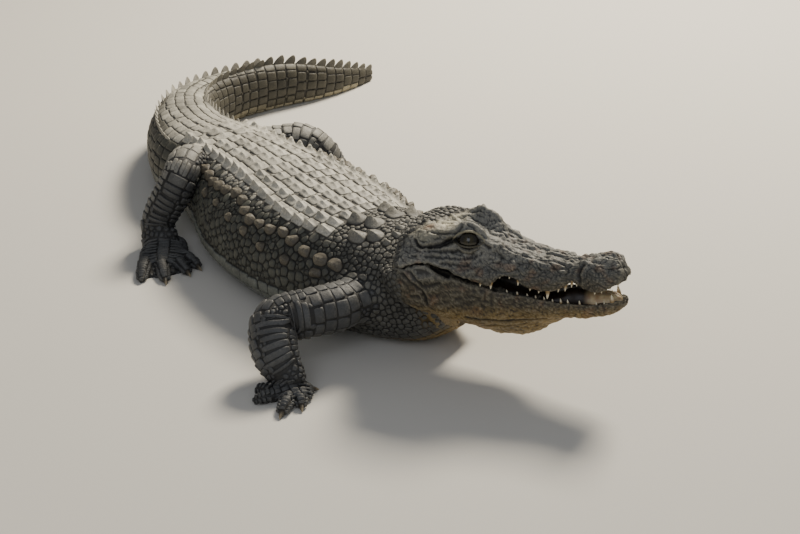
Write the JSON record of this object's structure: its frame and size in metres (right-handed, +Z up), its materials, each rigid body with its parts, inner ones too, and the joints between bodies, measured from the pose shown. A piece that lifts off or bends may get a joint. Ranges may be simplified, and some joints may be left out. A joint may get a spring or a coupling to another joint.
{
  "type": "crocodile model",
  "caption": "Still life-size crocodile resting low on bent legs, head raised with jaws just apart, and crested tail swung round to one side.",
  "frame": {"origin": "middle of the bounding box, on the floor", "axes": "+X towards the front of the trunk, +Y to the animal's left, +Z up"},
  "size_m": [1.5116, 0.9598, 0.252],
  "materials": {
    "hide": "dry scaly hide, satin on the larger scales",
    "eye": "wet gloss",
    "claw": "worn horn",
    "tooth": "stained ivory",
    "mouth": "moist lining of the mouth"
  },
  "bodies": {
    "root": {"eye_left": "eye", "eye_right": "eye", "foot_left": "hide", "foot_left_claw_1": "claw", "foot_left_claw_2": "claw", "foot_left_claw_3": "claw", "foot_right": "hide", "foot_right_claw_1": "claw", "foot_right_claw_2": "claw", "foot_right_claw_3": "claw", "foreleg_left_lower": "hide", "foreleg_left_upper": "hide", "foreleg_right_lower": "hide", "foreleg_right_upper": "hide", "hand_left": "hide", "hand_left_claw_1": "claw", "hand_left_claw_2": "claw", "hand_left_claw_3": "claw", "hand_right": "hide", "hand_right_claw_1": "claw", "hand_right_claw_2": "claw", "hand_right_claw_3": "claw", "head": "hide", "hindleg_left_lower": "hide", "hindleg_left_upper": "hide", "hindleg_right_lower": "hide", "hindleg_right_upper": "hide", "lower_jaw": "hide", "neck": "hide", "tail_1": "hide", "tail_2": "hide", "tail_3": "hide", "tail_4": "hide", "tail_5": "hide", "trunk": "hide"}
  },
  "joints": []
}
